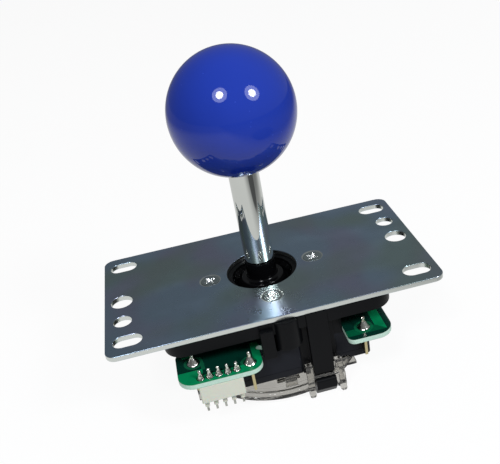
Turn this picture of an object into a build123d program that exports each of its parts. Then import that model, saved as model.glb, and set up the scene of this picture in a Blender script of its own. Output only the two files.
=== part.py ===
from build123d import *
from math import atan2, cos, degrees, hypot, radians, sin, sqrt, tan
import os

# Panel-mount arcade joystick lever, in millimetres.
# The origin is the middle of the mounting plate's top face, on the lever's axis.
# +Z points up along the lever, +X runs along the plate's long side, +Y points to the back.

# Clearances
running_gap = 0.05
slide_gap = 0.06
drop_in_gap = 0.1
bearing_gap = 0.04
hole_gap = 0.12
free_gap = 0.3

# Mounting plate
plate_length = 95.0
plate_width = 53.0
plate_thickness = 1.6
plate_corner_radius = 3.0
lever_hole_radius = 10.6
slot_inset = 6.2
slot_length = 8.2
slot_width = 5.2
round_hole_inset = 5.1
round_hole_radius = 3.2
small_hole_radius = 2.65
small_hole_offset = 10.4

# Plate screws
screw_circle_radius = 15.8
screw_radius = 1.5
screw_head_radius = 2.85
screw_length = 7.0
countersink_angle = 90.0
cross_length = 2.9
cross_width = 0.7
cross_depth = 0.9
cross_taper = 12.0

# Lever, pivot and ball
tilt_limit = 9.3
pivot_drop = 3.4
pivot_radius = 7.0
pivot_cap_height = 3.1
pivot_foot_depth = 4.2
neck_radius = 4.5
neck_root_radius = 0.8
shoulder_height = 3.9
shaft_radius = 4.32
stem_radius = 2.6
ball_radius = 17.5
ball_height = 49.4
ball_flat_radius = 5.6
insert_radius = 4.9
insert_length = 15.0
insert_end = 1.0
insert_groove_width = 2.0
insert_groove_depth = 0.7
stud_radius = 3.0
stud_length = 12.5
edge_break = 0.35
pivot_pin_radius = 1.25
pivot_pin_length = 5.85
pivot_pin_root = 3.75

# Moulded body
flange_length = 64.6
flange_width = 53.0
flange_height = 4.1
flange_corner_radius = 6.0
flange_web = 1.8
flange_wall = 2.0
rib_thickness = 1.6
socket_height = 9.4
socket_radius = 12.4
bowl_mouth_radius = 9.05
bowl_rim_height = 0.7
bowl_floor_hole_radius = 4.9
screw_boss_radius = 3.3
screw_boss_height = 8.4
leg_front = 26.9
leg_low = 6.8
leg_width = 6.0
leg_plate_thickness = 1.1
leg_plate_width = 9.6
barb_reach = 1.1
barb_shoulder = 0.5
barb_height = 3.4
barb_tip_depth = 1.5
stop_rib_low = -6.3
stop_rib_width = 3.7
stop_rib_height = 11.2
boss_centre = 1.7
boss_radius = 3.3
boss_height = 9.9

# Circuit board
board_half_width = 30.5
board_thickness = 1.6
board_corner_radius = 4.5
board_hole_radius = 9.0
notch_low = -7.1
notch_high = 17.3
notch_gap = 0.7
notch_relief_radius = 0.9
lobe_far_radius = 3.8
lobe_near_radius = 1.9
header_lobe_extra = 1.6

# Microswitches, four in a pinwheel round the actuator
switch_length = 27.8
switch_width = 15.9
switch_thickness = 10.0
switch_overhang = 4.4
switch_face_distance = 8.9
switch_corner_radius = 1.0
switch_cover_thickness = 2.4
switch_cover_setback = 0.4
switch_cover_chamfer = 0.3
switch_hole_radius = 1.55
switch_hole_inset = 2.8
plunger_gap = 0.45
plunger_width = 3.6
plunger_height = 2.0
plunger_stem = 5.6
plunger_tip_radius = 0.9
plunger_travel = 2.08
collar_width = 5.6
collar_height = 2.6
collar_length = 1.0
switch_wall = 1.0
terminal_thickness = 0.8
terminal_leg_width = 1.2
terminal_arm_height = 2.6
terminal_rise = 3.5
terminal_drop = 2.1
com_reach = 2.9
com_inset = 2.0
no_hole_inset = 2.0
no_position = -10.5
solder_base_radius = 1.8
solder_tip_radius = 0.75
solder_height = 2.4

# Five-pin header
pin_count = 5
pin_pitch = 2.5
pin_width = 0.64
header_centre = -19.45
pin_row_inset = 2.0
header_depth = 4.2
header_side_margin = 1.15
header_height = 4.6
header_rim = 0.7
header_chamfer = 0.3
finger_root = 1.9
finger_tip = 1.1
finger_length = 2.2
pin_chamfer = 0.15
pin_drop = 9.9
pin_rise = 2.6
pin_solder_radius = 0.95
pin_solder_tip_radius = 0.5
pin_solder_height = 1.8

# Actuator, spring and clip
actuator_radius = 6.0
actuator_top_lift = 2.0
actuator_recess = 0.6
cup_radius = 5.15
cup_depth = 6.4
spring_wire_radius = 0.38
spring_radius = 4.66
spring_turns = 4.5
seat_radius = 8.3
seat_hole_radius = 5.0
seat_thickness = 0.8
clip_thickness = 0.7
clip_radius = 4.6
clip_mouth = 3.4
clip_relief_radius = 0.9
groove_depth = 0.8
shaft_end_length = 0.7
driver_slot_width = 0.9
driver_slot_depth = 0.6

# Gate carrier and its insert
carrier_radius = 26.4
carrier_gap = 4.8
carrier_thickness = 1.4
carrier_rim_width = 1.6
carrier_rim_height = 0.7
gate_size = 36.0
gate_corner_radius = 1.5
gate_opening_radius = 4.0
gate_collar_width = 1.3
gate_collar_height = 1.2
ledge_width = 1.4
ledge_height = 0.9
tab_width = 7.0
tab_reach = 1.2
tab_height = 0.8
prop_low = -1.5
prop_width = 3.5
prop_thickness = 1.8
prop_distance = 24.2
foot_drop = 2.0
bar_gap = 0.2
bar_thickness = 1.3
loop_depth = 1.6
arm_width = 1.9
foot_radius = 0.8
arm_gap = 0.35
arm_top_rise = 3.8
outer_arm_lean = 2.6
gusset_reach = 2.7
gusset_height = 4.2
gusset_thickness = 0.9

# Levels worked out from the sizes
plate_underside = -plate_thickness
pivot_level = plate_underside - pivot_drop
flange_underside = plate_underside - flange_height
board_top = plate_underside - socket_height
board_underside = board_top - board_thickness
switch_underside = board_underside - switch_thickness
cover_top = switch_underside + switch_cover_thickness
plunger_level = (board_underside + switch_underside) / 2
disc_top = switch_underside - carrier_gap
disc_underside = disc_top - carrier_thickness
floor_level = disc_underside - foot_drop
bar_top = switch_underside - bar_gap
bar_underside = bar_top - bar_thickness
actuator_top = plunger_level + actuator_top_lift
actuator_underside = disc_underside + actuator_recess
shaft_end = actuator_underside - clip_thickness - shaft_end_length
seat_underside = board_top - seat_thickness

# Angles of the four sides: local x points away from the lever, local y runs along the side
sides = {"front": -90.0, "right": 0.0, "back": 90.0, "left": 180.0}


def level(height, angle=0.0):
    """Horizontal plane at a height, with its x axis turned to a side."""
    return Plane.XY.offset(height).rotated((0, 0, angle))


def section(angle, along):
    """Upright plane across a side: x away from the lever, y up, at a place along the side."""
    outward = Vector(cos(radians(angle)), sin(radians(angle)), 0)
    across = Vector(sin(radians(angle)), -cos(radians(angle)), 0)
    return Plane(origin=across * -along, x_dir=outward, z_dir=across)


def blocks(top, bottom, near, far, low, high, mode=Mode.ADD):
    """Upright block on each side, from near to far of the lever and from low to high along it."""
    for angle in sides.values():
        with BuildSketch(level(top, angle)) as outline:
            with Locations(((near + far) / 2, (low + high) / 2)):
                Rectangle(far - near, high - low)
        extrude(outline.sketch, amount=bottom - top, mode=mode)


def profiles(points, low, high, mode=Mode.ADD):
    """Closed profile on each side, drawn away from the lever and up, from low to high along it."""
    for angle in sides.values():
        with BuildSketch(section(angle, low)) as outline:
            with BuildLine():
                Polyline(*points, close=True)
            make_face()
        extrude(outline.sketch, amount=low - high, mode=mode)


def edge_corners(outline, least, most):
    """Corners on the board's outer edge, chosen by their distance from its middle line."""
    return outline.vertices().filter_by(
        lambda corner: max(abs(corner.X), abs(corner.Y)) > board_cut_back + free_gap
        and least < min(abs(corner.X), abs(corner.Y)) < most)


def save(piece, name):
    """Label a finished piece and write its file."""
    piece.part.label = name
    export_step(piece.part, f"parts/{name}.step")


os.makedirs("parts", exist_ok=True)

# Mounting plate
sink_radius = screw_head_radius + hole_gap
slot_pitch_x = plate_length - 2 * slot_inset
slot_pitch_y = plate_width - 2 * slot_inset
round_hole_pitch = plate_length - 2 * round_hole_inset
with BuildPart() as mounting_plate:
    with BuildSketch(level(plate_underside)):
        RectangleRounded(plate_length, plate_width, plate_corner_radius)
        Circle(lever_hole_radius, mode=Mode.SUBTRACT)
        with GridLocations(slot_pitch_x, slot_pitch_y, 2, 2):
            SlotOverall(slot_length, slot_width, mode=Mode.SUBTRACT)
        with GridLocations(round_hole_pitch, 0, 2, 1):
            Circle(round_hole_radius, mode=Mode.SUBTRACT)
        for side in (-1, 1):
            with Locations((side * round_hole_pitch / 2, side * small_hole_offset)):
                Circle(small_hole_radius, mode=Mode.SUBTRACT)
    extrude(amount=plate_thickness)
    with Locations(Plane.XY):
        with PolarLocations(screw_circle_radius, 4):
            CounterSinkHole(screw_radius + hole_gap, sink_radius, counter_sink_angle=countersink_angle)
save(mounting_plate, "mounting_plate")

# Countersunk screws that hold the body to the plate
head_height = (screw_head_radius - screw_radius) / tan(radians(countersink_angle / 2))
with BuildPart() as plate_screws:
    for angle in sides.values():
        with BuildSketch(section(angle, 0)):
            with BuildLine():
                Polyline(
                    (screw_circle_radius, 0),
                    (screw_circle_radius + screw_head_radius, 0),
                    (screw_circle_radius + screw_radius, -head_height),
                    (screw_circle_radius + screw_radius, -screw_length),
                    (screw_circle_radius, -screw_length),
                    close=True,
                )
            make_face()
        centre = level(0, angle).from_local_coords((screw_circle_radius, 0, 0))
        revolve(axis=Axis(centre, (0, 0, 1)))
    with BuildSketch(level(0)):
        with PolarLocations(screw_circle_radius, 4):
            Rectangle(cross_length, cross_width, rotation=45)
            Rectangle(cross_width, cross_length, rotation=45)
    extrude(amount=-cross_depth, taper=cross_taper, mode=Mode.SUBTRACT)
save(plate_screws, "plate_screws")

# Moulded body: flange, socket with its bowl, screw bosses, ribs and four clip legs
bowl_radius = pivot_radius + bearing_gap
pin_end = pivot_pin_root + pivot_pin_length
pin_slot_reach = pin_end + free_gap
pin_slot_bottom = pivot_level - pin_end * sin(radians(tilt_limit)) - pivot_pin_radius - free_gap
bowl_rim_level = plate_underside - bowl_rim_height
leg_high = leg_low + leg_width
leg_root = switch_length - switch_overhang + free_gap
leg_back = leg_root + leg_plate_thickness
socket_root_radius = (socket_radius + bowl_mouth_radius) / 2
rib_angle = degrees(atan2(flange_width, flange_length))
rib_reach = hypot(flange_length, flange_width) / 2 - flange_corner_radius
leg_plate_low = switch_overhang + free_gap
board_cut_back = leg_root - notch_gap
with BuildPart() as body:
    # Socket with the pivot's bowl, its flared mouth and the hole that the lever swings in
    floor_depth = sqrt(bowl_radius**2 - bowl_floor_hole_radius**2)
    bowl_middle = bowl_radius * cos(radians(30)), pivot_level - bowl_radius * sin(radians(30))
    with BuildSketch(Plane.XZ):
        with BuildLine():
            ThreePointArc(
                (bowl_floor_hole_radius, pivot_level - floor_depth),
                bowl_middle,
                (bowl_radius, pivot_level),
            )
            Polyline(
                (bowl_radius, pivot_level),
                (bowl_mouth_radius, bowl_rim_level),
                (bowl_mouth_radius, plate_underside),
                (socket_radius, plate_underside),
                (socket_radius, board_top),
                (bowl_floor_hole_radius, board_top),
                (bowl_floor_hole_radius, pivot_level - floor_depth),
            )
        make_face()
    revolve(axis=Axis.Z)
    # Flange: a web with a skirt, ribs and screw bosses under it
    with BuildSketch(level(plate_underside)):
        RectangleRounded(flange_length, flange_width, flange_corner_radius)
        Circle(socket_root_radius, mode=Mode.SUBTRACT)
    extrude(amount=-flange_web)
    with BuildSketch(level(plate_underside)):
        RectangleRounded(flange_length, flange_width, flange_corner_radius)
        RectangleRounded(
            flange_length - 2 * flange_wall,
            flange_width - 2 * flange_wall,
            flange_corner_radius - flange_wall,
            mode=Mode.SUBTRACT,
        )
        Rectangle(flange_length - flange_wall, rib_thickness)
        Rectangle(rib_thickness, flange_width - flange_wall)
        for turn in (rib_angle, -rib_angle):
            Rectangle(2 * rib_reach, rib_thickness, rotation=turn)
        Circle(socket_root_radius, mode=Mode.SUBTRACT)
    extrude(amount=-flange_height)
    with BuildSketch(level(plate_underside)):
        with PolarLocations(screw_circle_radius, 4):
            Circle(screw_boss_radius)
    extrude(amount=-screw_boss_height)
    # Stop rib and half-round boss in each notch of the board
    blocks(
        plate_underside, plate_underside - stop_rib_height,
        leg_back, leg_front - free_gap, stop_rib_low, stop_rib_low + stop_rib_width,
    )
    for angle in sides.values():
        with BuildSketch(level(plate_underside, angle)):
            with Locations((leg_front - boss_radius, boss_centre)):
                Circle(boss_radius)
            with Locations((board_cut_back + free_gap - boss_radius, boss_centre)):
                Rectangle(2 * boss_radius, 3 * boss_radius, mode=Mode.SUBTRACT)
        extrude(amount=-boss_height)
    # Legs: a back plate, a post in front of it, and a barb under the clip bar
    blocks(
        plate_underside, switch_underside + bar_thickness,
        leg_root, leg_back, leg_plate_low, leg_plate_low + leg_plate_width,
    )
    profiles(
        [
            (leg_root, plate_underside),
            (leg_front, plate_underside),
            (leg_front, bar_top + drop_in_gap),
            (leg_front - loop_depth, bar_top + drop_in_gap),
            (leg_front - loop_depth, bar_underside - drop_in_gap),
            (leg_front + barb_reach - barb_shoulder, bar_underside - drop_in_gap),
            (leg_front + barb_reach, bar_underside - drop_in_gap - barb_shoulder),
            (leg_front + barb_reach, bar_underside - barb_height),
            (leg_front - barb_tip_depth, floor_level),
            (leg_root, floor_level),
        ],
        leg_low, leg_high,
    )
    # Slots for the pivot's pins, and screw holes
    with BuildSketch(level(0)):
        Rectangle(2 * (pivot_pin_radius + running_gap), 2 * pin_slot_reach)
    extrude(amount=pin_slot_bottom, mode=Mode.SUBTRACT)
    with BuildSketch(level(plate_underside)):
        with PolarLocations(screw_circle_radius, 4):
            Circle(screw_radius + running_gap)
    extrude(amount=-screw_length, mode=Mode.SUBTRACT)
save(body, "body")

# Ball, its threaded insert and the lever's shaft
ball_flat_level = ball_height - sqrt(ball_radius**2 - ball_flat_radius**2)
with BuildPart() as ball_knob:
    with Locations((0, 0, ball_height)):
        Sphere(ball_radius)
    split(bisect_by=level(ball_flat_level), keep=Keep.TOP)
    with BuildSketch(level(ball_flat_level)):
        Circle(insert_radius + drop_in_gap)
    extrude(amount=insert_length + drop_in_gap, mode=Mode.SUBTRACT)
save(ball_knob, "ball_knob")

with BuildPart() as knob_insert:
    with BuildSketch(level(ball_flat_level)):
        Circle(insert_radius)
        Circle(stud_radius + running_gap, mode=Mode.SUBTRACT)
    extrude(amount=insert_length - insert_end)
    with BuildSketch(level(ball_flat_level + insert_length - insert_end)):
        Circle(insert_radius)
    extrude(amount=insert_end)
    with BuildSketch(level(ball_flat_level + insert_length / 2)):
        Circle(insert_radius)
        Circle(insert_radius - insert_groove_depth, mode=Mode.SUBTRACT)
    extrude(amount=insert_groove_width, mode=Mode.SUBTRACT)
save(knob_insert, "knob_insert")

with BuildPart() as lever_shaft:
    with BuildSketch(level(shoulder_height)):
        Circle(shaft_radius)
    extrude(amount=ball_flat_level - shoulder_height)
    chamfer(lever_shaft.edges().filter_by(GeomType.CIRCLE), edge_break)
    with BuildSketch(level(ball_flat_level)):
        Circle(stud_radius)
    extrude(amount=stud_length)
    chamfer(lever_shaft.faces().sort_by(Axis.Z)[-1].edges(), edge_break)
    with BuildSketch(level(shaft_end)):
        Circle(stem_radius)
    extrude(amount=shoulder_height - shaft_end)
    chamfer(lever_shaft.faces().sort_by(Axis.Z)[0].edges(), edge_break)
    with BuildSketch(level(actuator_underside)):
        Circle(shaft_radius)
        Circle(stem_radius - groove_depth, mode=Mode.SUBTRACT)
    extrude(amount=-clip_thickness, mode=Mode.SUBTRACT)
    with BuildSketch(level(shaft_end)):
        Rectangle(2 * shaft_radius, driver_slot_width)
    extrude(amount=driver_slot_depth, mode=Mode.SUBTRACT)
save(lever_shaft, "lever_shaft")

# Pivot: a ball with a neck, which tilts in the body's bowl on two pins
cap_level = pivot_level + pivot_cap_height
cap_radius = sqrt(pivot_radius**2 - pivot_cap_height**2)
pivot_foot_radius = sqrt(pivot_radius**2 - pivot_foot_depth**2)
with BuildPart() as pivot:
    with BuildSketch(Plane.XZ):
        with BuildLine():
            Polyline(
                (pivot_foot_radius, pivot_level - pivot_foot_depth),
                (stem_radius + running_gap, pivot_level - pivot_foot_depth),
                (stem_radius + running_gap, shoulder_height),
                (neck_radius, shoulder_height),
                (neck_radius, cap_level),
                (cap_radius, cap_level),
            )
            ThreePointArc(
                (cap_radius, cap_level),
                (pivot_radius, pivot_level),
                (pivot_foot_radius, pivot_level - pivot_foot_depth),
            )
        make_face()
    revolve(axis=Axis.Z)
    neck_root = pivot.edges().filter_by(GeomType.CIRCLE).sort_by(
        lambda edge: abs(edge.center().Z - cap_level) + abs(edge.radius - neck_radius))[0]
    fillet(neck_root, neck_root_radius)
    for angle in (-90.0, 90.0):
        with BuildSketch(Plane(origin=(0, sin(radians(angle)) * pivot_pin_root, pivot_level),
                               z_dir=(0, sin(radians(angle)), 0))):
            Circle(pivot_pin_radius + running_gap)
        extrude(amount=pivot_radius, mode=Mode.SUBTRACT)
save(pivot, "pivot")

with BuildPart() as pivot_pins:
    for angle in (-90.0, 90.0):
        with BuildSketch(Plane(origin=(0, sin(radians(angle)) * pivot_pin_root, pivot_level),
                               z_dir=(0, sin(radians(angle)), 0))):
            Circle(pivot_pin_radius)
        extrude(amount=pivot_pin_length)
    chamfer(pivot_pins.edges().group_by(Axis.Y)[0] + pivot_pins.edges().group_by(Axis.Y)[-1], edge_break)
save(pivot_pins, "pivot_pins")

# Spring seat, return spring, actuator and clip
with BuildPart() as spring_seat:
    with BuildSketch(level(board_top)):
        Circle(seat_radius)
        Circle(seat_hole_radius, mode=Mode.SUBTRACT)
    extrude(amount=-seat_thickness)
save(spring_seat, "spring_seat")

spring_bottom = actuator_top - cup_depth + spring_wire_radius
spring_height = seat_underside - spring_wire_radius - spring_bottom
with BuildPart() as return_spring:
    with BuildLine():
        coil = Helix(spring_height / spring_turns, spring_height, spring_radius, center=(0, 0, spring_bottom))
    with BuildSketch(Plane(origin=coil @ 0, z_dir=coil % 0)):
        Circle(spring_wire_radius)
    sweep(path=coil, is_frenet=True)
save(return_spring, "return_spring")

with BuildPart() as actuator:
    with BuildSketch(level(actuator_underside)):
        Circle(actuator_radius)
    extrude(amount=actuator_top - actuator_underside)
    chamfer(actuator.edges().filter_by(GeomType.CIRCLE), edge_break)
    with BuildSketch(level(actuator_top)):
        Circle(cup_radius)
    extrude(amount=-cup_depth, mode=Mode.SUBTRACT)
    with BuildSketch(level(actuator_underside)):
        Circle(stem_radius + running_gap)
    extrude(amount=actuator_top - actuator_underside, mode=Mode.SUBTRACT)
save(actuator, "actuator")

with BuildPart() as e_clip:
    with BuildSketch(level(actuator_underside)):
        Circle(clip_radius)
        Circle(stem_radius - groove_depth + running_gap, mode=Mode.SUBTRACT)
        with Locations((clip_radius / 2, 0)):
            Rectangle(clip_radius, clip_mouth - 2 * groove_depth, mode=Mode.SUBTRACT)
        with PolarLocations(stem_radius, 3, start_angle=60, angular_range=240, endpoint=True):
            Circle(clip_relief_radius, mode=Mode.SUBTRACT)
    extrude(amount=-clip_thickness)
save(e_clip, "e_clip")

# Places of the switch terminals and header pins, in the front side's own directions
case_low = switch_overhang - switch_length
case_far = switch_face_distance + switch_width
case_middle = (switch_face_distance + case_far) / 2
com_along = case_low - com_reach + terminal_leg_width / 2
com_away = case_far - com_inset
no_away = board_half_width - no_hole_inset
no_reach = no_away + terminal_leg_width / 2 - case_far
header_front = board_half_width + header_lobe_extra
header_row = header_front - pin_row_inset
pin_places = [(header_centre + (i - (pin_count - 1) / 2) * pin_pitch, -header_row) for i in range(pin_count)]

# Circuit board, the same on its four sides apart from the header's lobe
blade_slot_width = terminal_thickness + 2 * hole_gap
blade_slot_length = terminal_leg_width + 2 * hole_gap
with BuildPart() as circuit_board:
    with BuildSketch(level(board_top)) as board_outline:
        Rectangle(2 * board_half_width, 2 * board_half_width)
        for angle in sides.values():
            outward = level(0, angle)
            middle = outward.from_local_coords((board_half_width, (notch_low + notch_high) / 2, 0))
            with Locations(Location((middle.X, middle.Y, 0), (0, 0, angle))):
                Rectangle(2 * (board_half_width - board_cut_back), notch_high - notch_low, mode=Mode.SUBTRACT)
        lobe_low = -board_half_width
        with Locations(((lobe_low + notch_low) / 2, -board_half_width)):
            Rectangle(notch_low - lobe_low, 2 * header_lobe_extra)
        fillet(
            edge_corners(board_outline, notch_high + free_gap, board_half_width + free_gap),
            board_corner_radius,
        )
        fillet(edge_corners(board_outline, 0, free_gap - notch_low), lobe_far_radius)
        fillet(edge_corners(board_outline, notch_high - free_gap, notch_high + free_gap), lobe_near_radius)
        Circle(board_hole_radius, mode=Mode.SUBTRACT)
        for angle in sides.values():
            outward = level(0, angle)
            relief = outward.from_local_coords((board_cut_back, notch_low, 0))
            with Locations((relief.X, relief.Y)):
                Circle(notch_relief_radius, mode=Mode.SUBTRACT)
            com_place = outward.from_local_coords((com_away, com_along, 0))
            with Locations(Location((com_place.X, com_place.Y, 0), (0, 0, angle))):
                Rectangle(blade_slot_width, blade_slot_length, mode=Mode.SUBTRACT)
            no_place = outward.from_local_coords((no_away, no_position, 0))
            with Locations(Location((no_place.X, no_place.Y, 0), (0, 0, angle))):
                Rectangle(blade_slot_length, blade_slot_width, mode=Mode.SUBTRACT)
        with Locations(*pin_places):
            Circle(pin_width / sqrt(2) + hole_gap, mode=Mode.SUBTRACT)
    extrude(amount=-board_thickness)
save(circuit_board, "circuit_board")

# Solder on the board's top, round each terminal and pin
with BuildPart() as solder_joints:
    for angle in sides.values():
        for away, along, deep, wide in (
            (com_away, com_along, terminal_thickness, terminal_leg_width),
            (no_away, no_position, terminal_leg_width, terminal_thickness),
        ):
            with BuildSketch(level(board_top, angle)):
                with Locations((away, along)):
                    Circle(solder_base_radius)
            with BuildSketch(level(board_top + solder_height, angle)):
                with Locations((away, along)):
                    Circle(solder_tip_radius)
            loft()
            with BuildSketch(level(board_top, angle)):
                with Locations((away, along)):
                    Rectangle(deep, wide)
            extrude(amount=solder_height, mode=Mode.SUBTRACT)
    for place in pin_places:
        with BuildSketch(level(board_top)):
            with Locations(place):
                Circle(pin_solder_radius)
        with BuildSketch(level(board_top + pin_solder_height)):
            with Locations(place):
                Circle(pin_solder_tip_radius)
        loft()
    with BuildSketch(level(board_top)):
        with Locations(*pin_places):
            Rectangle(pin_width, pin_width)
    extrude(amount=pin_solder_height, mode=Mode.SUBTRACT)
save(solder_joints, "solder_joints")

# Header: a block with a shallow open mouth, and a tapered finger round each pin
header_width = (pin_count - 1) * pin_pitch + 2 * header_side_margin
header_underside = board_underside - header_height
mouth_level = header_underside + header_rim
with BuildPart() as header_housing:
    with BuildSketch(level(board_underside)):
        with Locations((header_centre, -header_front + header_depth / 2)):
            Rectangle(header_width, header_depth)
    extrude(amount=-header_height)
    chamfer(header_housing.edges().filter_by(Axis.Z), header_chamfer)
    with BuildSketch(level(header_underside)):
        with Locations((header_centre, -header_front + header_depth / 2)):
            Rectangle(header_width - 2 * header_rim, header_depth - 2 * header_rim)
        with Locations(*[((a[0] + b[0]) / 2, -header_front) for a, b in zip(pin_places, pin_places[1:])]):
            Rectangle(pin_pitch - finger_root, 2 * header_rim)
    extrude(amount=header_rim, mode=Mode.SUBTRACT)
    for place in pin_places:
        with BuildSketch(level(mouth_level)):
            with Locations(place):
                Rectangle(finger_root, finger_root)
        with BuildSketch(level(header_underside - finger_length)):
            with Locations(place):
                Rectangle(finger_tip, finger_tip)
        loft()
    with BuildSketch(level(board_underside)):
        with Locations(*pin_places):
            Rectangle(pin_width + 2 * running_gap, pin_width + 2 * running_gap)
    extrude(amount=-pin_drop, mode=Mode.SUBTRACT)
save(header_housing, "header_housing")

with BuildPart() as header_pins:
    with BuildSketch(level(board_top + pin_rise)):
        with Locations(*pin_places):
            Rectangle(pin_width, pin_width)
    extrude(amount=-pin_rise - board_thickness - pin_drop)
    chamfer(header_pins.faces().filter_by(Axis.Z).edges(), pin_chamfer)
save(header_pins, "header_pins")

# Microswitches: case, cover, plunger and two terminals on each side
tip_distance = actuator_radius + plunger_gap
collar_start = tip_distance + plunger_stem
pocket_start = switch_face_distance + switch_wall
pocket_end = collar_start + collar_length + plunger_travel + free_gap
hole_places = [
    (case_far - switch_hole_inset, switch_overhang - switch_hole_inset),
    (switch_face_distance + switch_hole_inset, case_low + switch_hole_inset),
]
arm_bottom = switch_underside + terminal_drop
for side, angle in sides.items():
    with BuildPart() as switch_case:
        with BuildSketch(level(board_underside, angle)):
            with Locations((case_middle, case_low + switch_length / 2)):
                RectangleRounded(switch_width, switch_length, switch_corner_radius)
            with Locations(*hole_places):
                Circle(switch_hole_radius, mode=Mode.SUBTRACT)
        extrude(amount=cover_top - board_underside)
        with BuildSketch(level(cover_top, angle)):
            with Locations(((pocket_start + pocket_end) / 2, 0)):
                Rectangle(pocket_end - pocket_start, collar_width + 2 * slide_gap)
        extrude(amount=plunger_level + collar_height / 2 + slide_gap - cover_top, mode=Mode.SUBTRACT)
        with BuildSketch(section(angle, 0)):
            with Locations(((switch_face_distance + pocket_start) / 2, plunger_level)):
                Rectangle(switch_wall * 2, plunger_height + 2 * slide_gap)
        extrude(amount=plunger_width / 2 + slide_gap, both=True, mode=Mode.SUBTRACT)
    save(switch_case, f"switch_case_{side}")

    with BuildPart() as switch_cover:
        with BuildSketch(level(cover_top, angle)):
            with Locations((case_middle + switch_cover_setback / 2, case_low + switch_length / 2)):
                RectangleRounded(switch_width - switch_cover_setback, switch_length, switch_corner_radius)
            with Locations(*hole_places):
                Circle(switch_hole_radius, mode=Mode.SUBTRACT)
        extrude(amount=-switch_cover_thickness)
        chamfer(switch_cover.faces().sort_by(Axis.Z)[0].outer_wire().edges(), switch_cover_chamfer)
    save(switch_cover, f"switch_cover_{side}")

    with BuildPart() as switch_plunger:
        with BuildSketch(section(angle, 0)):
            with Locations(((tip_distance + collar_start) / 2, plunger_level)):
                Rectangle(plunger_stem, plunger_height)
        extrude(amount=plunger_width / 2, both=True)
        tip_edges = switch_plunger.edges().filter_by(Axis.Z).sort_by(
            lambda edge: hypot(edge.center().X, edge.center().Y))[:2]
        fillet(tip_edges, plunger_tip_radius)
        with BuildSketch(section(angle, 0)):
            with Locations((collar_start + collar_length / 2, plunger_level)):
                Rectangle(collar_length, collar_height)
        extrude(amount=collar_width / 2, both=True)
    save(switch_plunger, f"switch_plunger_{side}")

    with BuildPart() as com_terminal:
        with BuildSketch(level(arm_bottom, angle)):
            with Locations((com_away, case_low - com_reach / 2)):
                Rectangle(terminal_thickness, com_reach)
        extrude(amount=terminal_arm_height)
        with BuildSketch(level(arm_bottom, angle)):
            with Locations((com_away, com_along)):
                Rectangle(terminal_thickness, terminal_leg_width)
        extrude(amount=board_top + terminal_rise - arm_bottom)
    save(com_terminal, f"com_terminal_{side}")

    with BuildPart() as no_terminal:
        with BuildSketch(level(arm_bottom, angle)):
            with Locations((case_far + no_reach / 2, no_position)):
                Rectangle(no_reach, terminal_thickness)
        extrude(amount=terminal_arm_height)
        with BuildSketch(level(arm_bottom, angle)):
            with Locations((no_away, no_position)):
                Rectangle(terminal_leg_width, terminal_thickness)
        extrude(amount=board_top + terminal_rise - arm_bottom)
    save(no_terminal, f"no_terminal_{side}")

# Clear gate carrier: disc, props under the switches, and a loop with feet round each leg
loop_front = leg_front + drop_in_gap
loop_back = loop_front - loop_depth
inner_arm_high = leg_low - arm_gap
outer_arm_low = leg_high + arm_gap
arm_top = bar_top + arm_top_rise
with BuildPart() as gate_carrier:
    with BuildSketch(level(disc_underside)):
        Circle(carrier_radius)
    extrude(amount=carrier_thickness)
    with BuildSketch(level(disc_top)):
        Circle(carrier_radius - carrier_rim_width)
        Circle(carrier_radius - 2 * carrier_rim_width, mode=Mode.SUBTRACT)
    extrude(amount=carrier_rim_height)
    # Lugs that carry the loops, then the loops themselves
    blocks(
        disc_top, disc_underside,
        carrier_radius - leg_width, loop_front,
        inner_arm_high - arm_width, outer_arm_low + outer_arm_lean,
    )
    blocks(
        disc_top + carrier_rim_height, disc_underside, leg_root - free_gap, loop_front + arm_width,
        leg_low - arm_gap, leg_high + arm_gap, mode=Mode.SUBTRACT,
    )
    blocks(
        arm_top, floor_level, loop_back, loop_front,
        inner_arm_high - arm_width, inner_arm_high,
    )
    for angle in sides.values():
        facing = Plane(
            origin=level(0, angle).from_local_coords((loop_front, 0, 0)),
            x_dir=Vector(-sin(radians(angle)), cos(radians(angle)), 0),
            z_dir=Vector(cos(radians(angle)), sin(radians(angle)), 0),
        )
        with BuildSketch(facing):
            with BuildLine():
                Polyline(
                    (outer_arm_low, arm_top),
                    (outer_arm_low + arm_width, arm_top),
                    (outer_arm_low + outer_arm_lean, bar_underside - arm_gap),
                    (outer_arm_low + outer_arm_lean, floor_level),
                    (outer_arm_low + outer_arm_lean - arm_width, floor_level),
                    (outer_arm_low + outer_arm_lean - arm_width, bar_underside),
                    (outer_arm_low, bar_top),
                    close=True,
                )
            make_face()
        extrude(amount=-loop_depth)
        with BuildSketch(facing):
            with BuildLine():
                Polyline(
                    (outer_arm_low + arm_width, arm_top),
                    (outer_arm_low + arm_width + gusset_reach, arm_top),
                    (outer_arm_low + arm_width, arm_top - gusset_height),
                    close=True,
                )
            make_face()
        extrude(amount=-gusset_thickness)
    foot_edges = gate_carrier.edges().group_by(Axis.Z)[0].filter_by(
        lambda edge: abs(edge.length - loop_depth) < running_gap)
    fillet(foot_edges, foot_radius)
    blocks(
        bar_top, bar_underside, loop_back + drop_in_gap, loop_front,
        inner_arm_high - arm_width / 2, outer_arm_low + arm_width,
    )
    # Props between the disc and the switches
    blocks(
        switch_underside, disc_top, prop_distance - prop_thickness, prop_distance,
        prop_low, prop_low + prop_width,
    )
    # Square hole with ledges for the gate
    with BuildSketch(level(disc_underside)):
        RectangleRounded(gate_size, gate_size, gate_corner_radius)
    extrude(amount=carrier_thickness + carrier_rim_height, mode=Mode.SUBTRACT)
    with BuildSketch(level(disc_top)):
        with GridLocations(gate_size, gate_size, 2, 2):
            Rectangle(4 * ledge_width, 4 * ledge_width)
    extrude(amount=ledge_height)
save(gate_carrier, "gate_carrier")

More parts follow.
